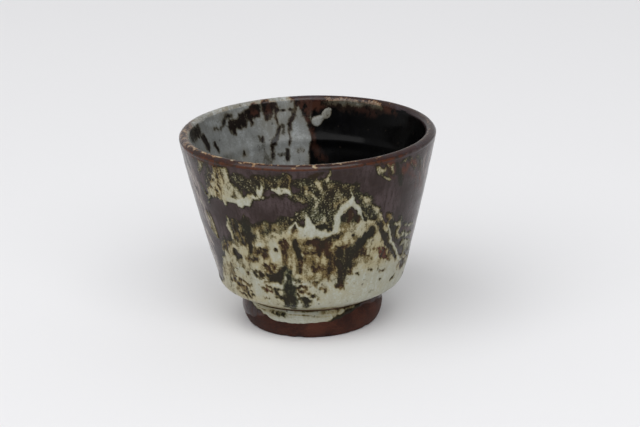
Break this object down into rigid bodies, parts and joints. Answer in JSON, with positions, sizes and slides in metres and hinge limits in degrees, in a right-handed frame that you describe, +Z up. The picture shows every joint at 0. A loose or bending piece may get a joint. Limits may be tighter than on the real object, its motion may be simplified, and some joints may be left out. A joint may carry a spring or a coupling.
{
  "type": "tea bowl",
  "caption": "Thrown stoneware tea bowl with a flared wall on a low foot ring, dark glaze with pale glaze poured over it outside, half pale and half dark inside.",
  "frame": {"origin": "centre of the plane that the foot ring rests on", "axes": "+Z up along the bowl's axis, -Y towards the front that the picture shows, +X to the right"},
  "size_m": [0.11, 0.11, 0.0848],
  "materials": {
    "clay": "bare iron-rich stoneware, matt, with turning marks",
    "slip": "fired luting slip, matt",
    "dark_glaze": "purple-brown iron glaze, satin gloss",
    "pale_glaze": "poured ash glaze, cream to grey-green, satin",
    "rust_glaze": "thin glaze broken to rust brown, glossy",
    "black_glaze": "near-black iron glaze, glossy",
    "grey_glaze": "grey-white ash glaze, satin gloss"
  },
  "bodies": {
    "root": {"clay_body": "clay", "foot_ring": "clay", "foot_luting_slip": "slip", "outer_dark_glaze": "dark_glaze", "lower_pale_pour": "pale_glaze", "upper_pale_run": "pale_glaze", "rim_glaze": "rust_glaze", "inner_pale_glaze": "grey_glaze", "inner_dark_glaze": "black_glaze", "inner_pale_drip": "grey_glaze", "foot_pale_skirt": "pale_glaze", "foot_dark_glaze": "dark_glaze"}
  },
  "joints": []
}
